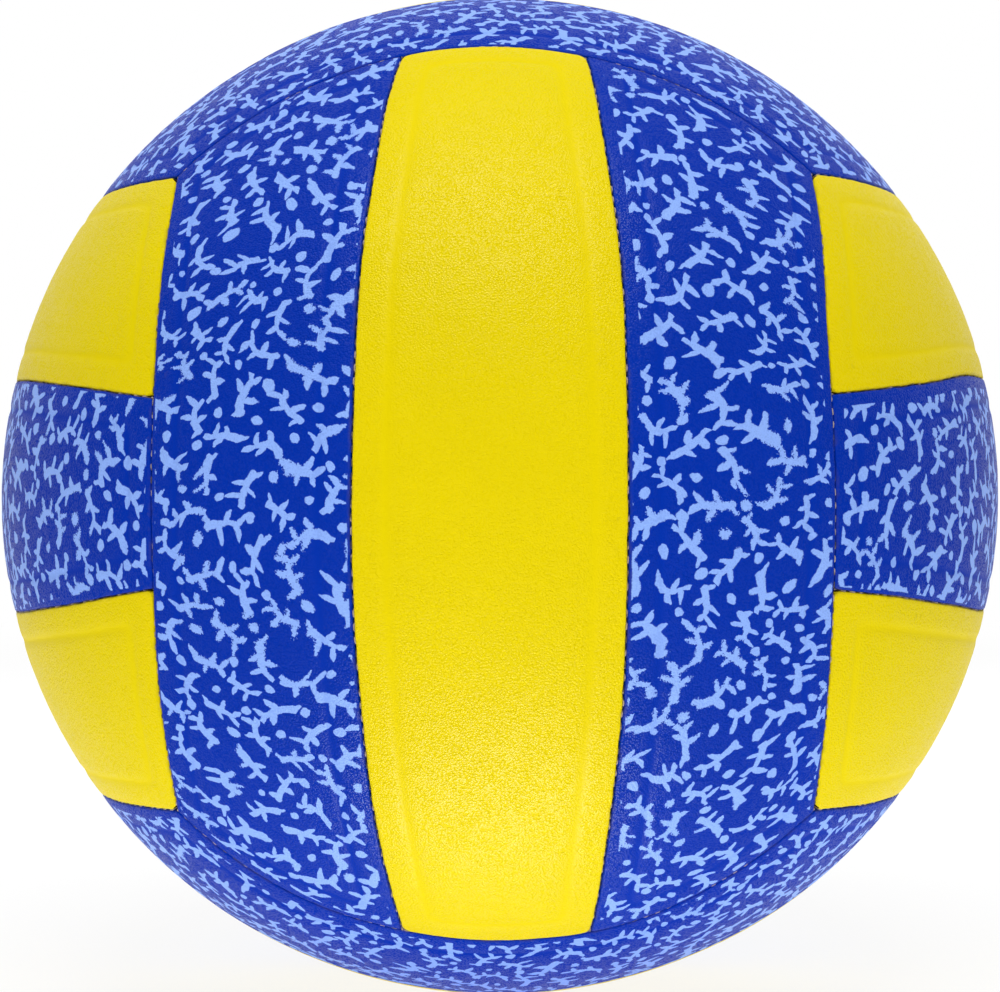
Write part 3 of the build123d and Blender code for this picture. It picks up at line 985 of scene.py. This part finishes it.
def cut_hole(piece, radius, axis, reach):
    """Cuts a round hole through a piece, along an axis from the ball's centre."""
    sides = HOLE_SIDES
    turn = axis.to_track_quat("Z", "Y").to_matrix()
    angles = [2 * math.pi * k / sides for k in range(sides)]
    rim = [
        turn @ Vector((radius * math.cos(angle), radius * math.sin(angle), reach * height))
        for height in HOLE_REACH_SHARES
        for angle in angles
    ]
    walls = [(k, (k + 1) % sides, sides + (k + 1) % sides, sides + k) for k in range(sides)]
    caps = [tuple(range(sides))[::-1], tuple(range(sides, 2 * sides))]
    cutter = make_object("hole_cutter", np.array(rim), walls + caps, piece.data.materials[0])
    cut = piece.modifiers.new("hole", "BOOLEAN")
    cut.operation = "DIFFERENCE"
    cut.solver = "EXACT"
    cut.object = cutter
    depsgraph = bpy.context.evaluated_depsgraph_get()
    drilled = bpy.data.meshes.new_from_object(piece.evaluated_get(depsgraph))
    piece.modifiers.remove(cut)
    old = piece.data
    piece.data = drilled
    drilled.name = piece.name
    bpy.data.meshes.remove(old)
    bpy.data.objects.remove(cutter)


def layer_mesh(layout, handwork, kind, axes, inset, top, bottom, roll):
    """Points and faces of a layer under a cover, between two radii, with its flat size and its area."""
    width, span = layout.spans(kind)
    lines = [line * MM for line in LAYER_LINES]
    across, along = [edge_stations(reach, lines, LAYER_STEP) for reach in (width, span)]
    directions = layout.crossing(kind, across, along, inset)
    nearest = np.maximum(np.minimum.reduce(layout.seam_distances(kind, directions)) - inset, 0)
    turned = np.clip(roll - nearest, 0, roll)
    world = directions @ axes
    upper = handwork.moved(world, top - roll + np.sqrt(roll**2 - turned**2), 0.0)
    lower = handwork.moved(world, np.full(nearest.shape, bottom), 0.0)
    points = np.concatenate([upper.reshape(-1, 3), lower.reshape(-1, 3)])
    faces = shell_faces(len(along), len(across), range(len(along)), range(len(across)))
    sides = np.diff(lower, axis=0)[:, :-1], np.diff(lower, axis=1)[:-1]
    area = float(np.linalg.norm(np.cross(*sides), axis=-1).sum())
    flat = np.ptp(layout.flat_places(directions).reshape(-1, 2), axis=0)
    return points, faces, flat.tolist(), area


class VOLLEYBALL_OT_covers(bpy.types.Operator):
    """Makes the 18 leather cover panels, with rolled edges, creases and a hole for the valve"""

    bl_idname = "volleyball.covers"
    bl_label = "Make covers"

    def execute(self, context):
        sizes = context.scene.volleyball_sizes
        colours = context.scene.volleyball_colours
        seed = context.scene.volleyball_stage.seed
        layout = Layout(sizes)
        handwork = Handwork(seed, layout.radius)
        leathers = {
            True: cover_paint("yellow_leather", colours, False),
            False: cover_paint("blue_printed_leather", colours, True),
        }
        shift = np.random.default_rng(seed + PRINT_SEED)
        for face, place, kind, axes in panel_places():
            name = f"{face}_{place}"
            yellow = is_yellow(face, place)
            corner = sizes.corner_round if yellow else sizes.corner_tight
            points, faces, flat, marks = self.panel_mesh(sizes, layout, handwork, kind, axes, corner)
            piece = make_object(f"leather_{name}", points, faces, leathers[yellow])
            add_map(piece.data, "print", flat + shift.uniform(0, PRINT_SHIFT, size=2))
            for mark, values in marks.items():
                add_values(piece.data, mark, values)
            if name == VALVE_PANEL:
                cut_hole(piece, sizes.valve_hole, VALVE_AXIS, layout.radius)
            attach(piece, BODY)
            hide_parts(f"cover_{name}")
        return {"FINISHED"}

    def panel_mesh(self, sizes, layout, handwork, kind, axes, corner):
        """Points, faces and flat places of one closed panel, with its distances from seams and its crease."""
        width, span = layout.spans(kind)
        lines = [line * MM for line in COVER_LINES]
        across, along = [edge_stations(reach, lines, sizes.grid_step) for reach in (width, span)]
        directions = layout.crossing(kind, across, along, sizes.seam_gap)
        directions = layout.drawn_in(kind, directions, sizes.seam_gap, corner)
        distances = [np.maximum(d - sizes.seam_gap, 0) for d in layout.seam_distances(kind, directions)]
        nearest = rounded_distance(distances, corner)
        world = directions @ axes
        from_crease = soft_minimum(distances, CREASE_SOFTNESS) - sizes.hem_width
        crease = np.exp(-((from_crease / sizes.crease_width) ** 2))
        radii = layout.radius + self.relief(sizes, nearest, crease, world)
        hem = (0.0, BORDER_SHARE * sizes.hem_width, sizes.hem_width)
        rows = kept_lines(along, span, hem, sizes.hem_width)
        columns = kept_lines(across, width, hem, sizes.hem_width)
        inner = np.ix_(rows, columns)
        over_foam = np.minimum.reduce(distances)[inner] > (1 + BORDER_SHARE) / 2 * sizes.hem_width
        depth = np.where(over_foam, sizes.skin, sizes.border)
        outer_points = handwork.moved(world, radii, LIFT_SHARE)
        inner_points = handwork.moved(world[inner], layout.radius - depth, 0.0)
        points = np.concatenate([outer_points.reshape(-1, 3), inner_points.reshape(-1, 3)])
        flat = layout.flat_places(directions)
        flat = np.concatenate([flat.reshape(-1, 2), flat[inner].reshape(-1, 2)])
        marks = {
            mark: np.concatenate([values.ravel(), values[inner].ravel()])
            for mark, values in (("seam_distance", nearest), ("crease", crease))
        }
        return points, shell_faces(len(along), len(across), rows, columns), flat, marks

    def relief(self, sizes, nearest, crease, world):
        """Height of the cover over the plain ball: rolled edge, sunk border, crease and dimple."""
        roll = sizes.edge_roll
        turned = np.clip(roll - nearest, 0, roll)
        height = np.sqrt(roll**2 - turned**2) - roll
        height -= sizes.edge_sink * np.exp(-nearest / SINK_REACH)
        height -= sizes.crease_depth * crease
        out = world @ np.array(VALVE_AXIS)
        from_valve = np.arccos(np.clip(out, -1, 1)) * sizes.diameter / 2
        past_rim = np.maximum(from_valve - sizes.valve_hole, 0)
        height -= DIMPLE_DEPTH * np.exp(-past_rim / DIMPLE_REACH)
        return height


class VOLLEYBALL_OT_stitching(bpy.types.Operator):
    """Makes the thread that comes up between the panels and dives again at every stitch"""

    bl_idname = "volleyball.stitching"
    bl_label = "Make stitching"

    def execute(self, context):
        sizes = context.scene.volleyball_sizes
        layout = Layout(sizes)
        seed = context.scene.volleyball_stage.seed
        handwork = Handwork(seed, layout.radius)
        tension = Waves(seed + TENSION_SEED, *TENSION_WAVES)
        material = thread_paint(context.scene.volleyball_colours)
        for kind in ("face", "strip"):
            points, faces = [], []
            for (across, out, _), turn in itertools.product(FACES.values(), (1, -1)):
                axes = strip_axes(across, out, turn)
                self.add_run(sizes, layout, handwork, tension, kind, axes, points, faces)
            piece = make_object(f"{kind}_seam_stitches", np.concatenate(points), faces, material)
            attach(piece, BODY)
            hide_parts(f"{kind}_seam_thread")
        return {"FINISHED"}

    def add_run(self, sizes, layout, handwork, tension, kind, axes, points, faces):
        """One seam's thread: a two-ply tube that waves between surface and hems, deeper where tight."""
        directions, distance = layout.seam_line(kind, THREAD_STEP)
        world = directions @ axes
        wave = np.cos(2 * np.pi * distance / sizes.stitch_pitch)
        lift = np.clip(wave * STITCH_STEEPNESS + STITCH_RAISE, -1, 1)
        tight = np.clip(tension.at(world * layout.radius)[:, 0] + USUAL_TENSION, SLACKEST, TIGHTEST)
        top = layout.radius - (STITCH_TOP + STITCH_PULL * tight)
        bottom = layout.radius - STITCH_FOOT
        radii = bottom + (top - bottom) * (lift + 1) / 2
        path = handwork.moved(world, radii, LIFT_SHARE)
        forward = np.gradient(path, axis=0)
        forward /= np.linalg.norm(forward, axis=1, keepdims=True)
        side = np.cross(forward, world)
        side /= np.linalg.norm(side, axis=1, keepdims=True)
        up = np.cross(side, forward)
        angles = np.arange(THREAD_SIDES) * 2 * np.pi / THREAD_SIDES
        ply = 2 * np.pi * distance / PLY_PITCH
        radius = sizes.thread / 2 * (PLY_WAIST + PLY_SWELL * np.cos(2 * (angles[None, :] - ply[:, None])))
        ring = (
            path[:, None, :]
            + radius[..., None] * np.cos(angles)[None, :, None] * side[:, None, :]
            + radius[..., None] * np.sin(angles)[None, :, None] * up[:, None, :]
        )
        start = sum(len(p) for p in points)
        index = start + np.arange(ring.shape[0] * THREAD_SIDES).reshape(-1, THREAD_SIDES)
        after = np.roll(index, -1, axis=1)
        quads = np.stack([index[:-1], after[:-1], after[1:], index[1:]], axis=-1)
        faces.extend(quads.reshape(-1, 4).tolist())
        faces.append(index[0][::-1].tolist())
        faces.append(index[-1].tolist())
        points.append(ring.reshape(-1, 3))


class VOLLEYBALL_OT_inner_layers(bpy.types.Operator):
    """Makes the foam pads and the lining cloth under the covers, and paints the bladder"""

    bl_idname = "volleyball.inner_layers"
    bl_label = "Make inner layers"

    def execute(self, context):
        sizes = context.scene.volleyball_sizes
        colours = context.scene.volleyball_colours
        layout = Layout(sizes)
        handwork = Handwork(context.scene.volleyball_stage.seed, layout.radius)
        foam, cloth = foam_paint(colours), lining_paint(colours)
        pad_inset = sizes.hem_width + sizes.pad_gap
        pad_top, pad_foot = layout.radius - sizes.skin - sizes.layer_gap, layout.radius - sizes.border
        sheet_top = pad_foot - sizes.layer_gap
        pad_room = (pad_inset, pad_top, pad_foot, PAD_ROLL)
        sheet_room = (sizes.seam_gap, sheet_top, sheet_top - sizes.lining, LINING_ROLL)
        for face, place, kind, axes in panel_places():
            name = f"{face}_{place}"
            points, faces, _, _ = layer_mesh(layout, handwork, kind, axes, *pad_room)
            pad = make_object(f"pad_{name}", points, faces, foam)
            points, faces, flat, area = layer_mesh(layout, handwork, kind, axes, *sheet_room)
            sheet = make_object(f"lining_cloth_{name}", points, faces, cloth)
            for piece, node in ((pad, f"foam_{name}"), (sheet, f"lining_{name}")):
                if name == VALVE_PANEL:
                    cut_hole(piece, sizes.valve_hole, VALVE_AXIS, layout.radius)
                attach(piece, BODY)
                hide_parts(node)
        paint_node("bladder", rubber_paint("bladder_rubber", colours.rubber, *BLADDER_RUBBER))
        return {"FINISHED"}


class VOLLEYBALL_OT_valve(bpy.types.Operator):
    """Paints the valve's body and core"""

    bl_idname = "volleyball.valve"
    bl_label = "Paint valve"

    def execute(self, context):
        shade = context.scene.volleyball_colours.rubber
        softer = [value * CORE_TONE for value in shade]
        paint_node("valve_body", rubber_paint("valve_body_rubber", shade, *VALVE_BODY_RUBBER))
        paint_node("valve_core", rubber_paint("valve_core_rubber", softer, *VALVE_CORE_RUBBER))
        return {"FINISHED"}


class VOLLEYBALL_OT_stage(bpy.types.Operator):
    """Sets up the floor, the light and the camera. Two lights only show as shine on the front panels"""

    bl_idname = "volleyball.stage"
    bl_label = "Set up stage"

    def execute(self, context):
        scene = context.scene
        stage = scene.volleyball_stage
        scene.view_settings.view_transform = "Standard"
        self.add_floor(stage)
        self.add_world(scene, stage)
        self.add_soft_box("upper_soft_box", UPPER_PLACE, SOFT_BOX, stage.key)
        self.add_soft_box("lower_soft_box", LOWER_PLACE, SOFT_BOX, stage.fill)
        front = bpy.data.collections.new("front_panels")
        for face, place, _, _ in panel_places():
            if face == "front":
                front.objects.link(bpy.data.objects[f"leather_{face}_{place}"])
        self.add_shine("upper_shine", UPPER_PLACE, stage.upper_shine, front)
        self.add_shine("lower_shine", LOWER_PLACE, stage.lower_shine, front)
        rear = self.add_soft_box("rear_soft_box", REAR_PLACE, REAR_BOX, stage.rear)
        rear.visible_glossy = False
        self.add_camera(scene, stage)
        return {"FINISHED"}

    def add_floor(self, stage):
        """A wide pale floor under the ball, which lets the light of the lower lamps through."""
        corners = [(-1, -1), (1, -1), (1, 1), (-1, 1)]
        points = np.array([(x * FLOOR_HALF, y * FLOOR_HALF, cad_box[0][2]) for x, y in corners])
        floor = make_object("floor", points, [(0, 1, 2, 3)], floor_paint(stage.floor), smooth=False)
        floor.visible_shadow = False

    def add_world(self, scene, stage):
        """Even light from all round, seen as white by the camera, mirrors and glass."""
        scene.world = bpy.data.worlds.new("studio")
        paint = Paint(scene.world)
        strength = paint.seen() * (1 - stage.ambient) + stage.ambient
        glow = paint.node("ShaderNodeBackground", {}, {"Color": WHITE, "Strength": strength})["Background"]
        paint.node("ShaderNodeOutputWorld", {}, {"Surface": glow})

    def add_soft_box(self, name, place, size, power):
        """A wide soft light turned to the ball. Its sampling keeps shine that comes through the floor."""
        light = bpy.data.lights.new(name, "AREA")
        light.shape = "RECTANGLE"
        light.size, light.size_y = size
        light.energy = power
        light.cycles.use_multiple_importance_sampling = False
        box = bpy.data.objects.new(name, light)
        box.visible_camera = False
        box.location = place
        box.rotation_euler = (-Vector(place)).to_track_quat("-Z", "Y").to_euler()
        bpy.context.scene.collection.objects.link(box)
        return box

    def add_shine(self, name, place, power, panels):
        """A soft box that only gloss shows, and only on these panels."""
        shine = self.add_soft_box(name, place, SHINE_BOX, power)
        shine.visible_diffuse = False
        shine.light_linking.receiver_collection = panels

    def add_camera(self, scene, stage):
        """The camera, level with the ball and turned a little round it."""
        data = bpy.data.cameras.new("camera")
        data.lens = stage.lens
        data.sensor_width = SENSOR_WIDTH
        data.clip_start = CLIP_START
        camera = bpy.data.objects.new("camera", data)
        turn = Quaternion(Vector(stage.turn))
        camera.location = turn @ Vector((0, -stage.distance, 0))
        level = Euler((math.pi / 2, 0, 0)).to_quaternion()
        camera.rotation_euler = (turn @ level).to_euler()
        scene.collection.objects.link(camera)
        scene.camera = camera


class VOLLEYBALL_PT_sidebar(bpy.types.Panel):
    """Sizes, colours and steps of the volleyball"""

    bl_idname = "VOLLEYBALL_PT_sidebar"
    bl_label = "Volleyball"
    bl_space_type = "VIEW_3D"
    bl_region_type = "UI"
    bl_category = "Volleyball"

    def draw(self, context):
        scene = context.scene
        for title, group in (
            ("Sizes", scene.volleyball_sizes),
            ("Colours", scene.volleyball_colours),
            ("Stage", scene.volleyball_stage),
        ):
            box = self.layout.box()
            box.label(text=title)
            for name in group.bl_rna.properties.keys():
                if name not in ("rna_type", "name"):
                    box.prop(group, name)
        for step in STEPS:
            self.layout.operator(step.bl_idname)


STEPS = (
    VOLLEYBALL_OT_covers,
    VOLLEYBALL_OT_stitching,
    VOLLEYBALL_OT_inner_layers,
    VOLLEYBALL_OT_valve,
    VOLLEYBALL_OT_stage,
)
CLASSES = (BallSizes, BallColours, StageSettings, *STEPS, VOLLEYBALL_PT_sidebar)


def register():
    """Adds the classes and their settings to Blender."""
    for cls in CLASSES:
        bpy.utils.register_class(cls)
    bpy.types.Scene.volleyball_sizes = PointerProperty(type=BallSizes)
    bpy.types.Scene.volleyball_colours = PointerProperty(type=BallColours)
    bpy.types.Scene.volleyball_stage = PointerProperty(type=StageSettings)


def unregister():
    """Takes the settings and the classes out of Blender again."""
    del bpy.types.Scene.volleyball_stage
    del bpy.types.Scene.volleyball_colours
    del bpy.types.Scene.volleyball_sizes
    for cls in reversed(CLASSES):
        bpy.utils.unregister_class(cls)


def main():
    """Dresses the ball step by step."""
    register()
    bpy.ops.volleyball.covers()
    bpy.ops.volleyball.stitching()
    bpy.ops.volleyball.inner_layers()
    bpy.ops.volleyball.valve()
    bpy.ops.volleyball.stage()


if __name__ == "__main__":
    main()
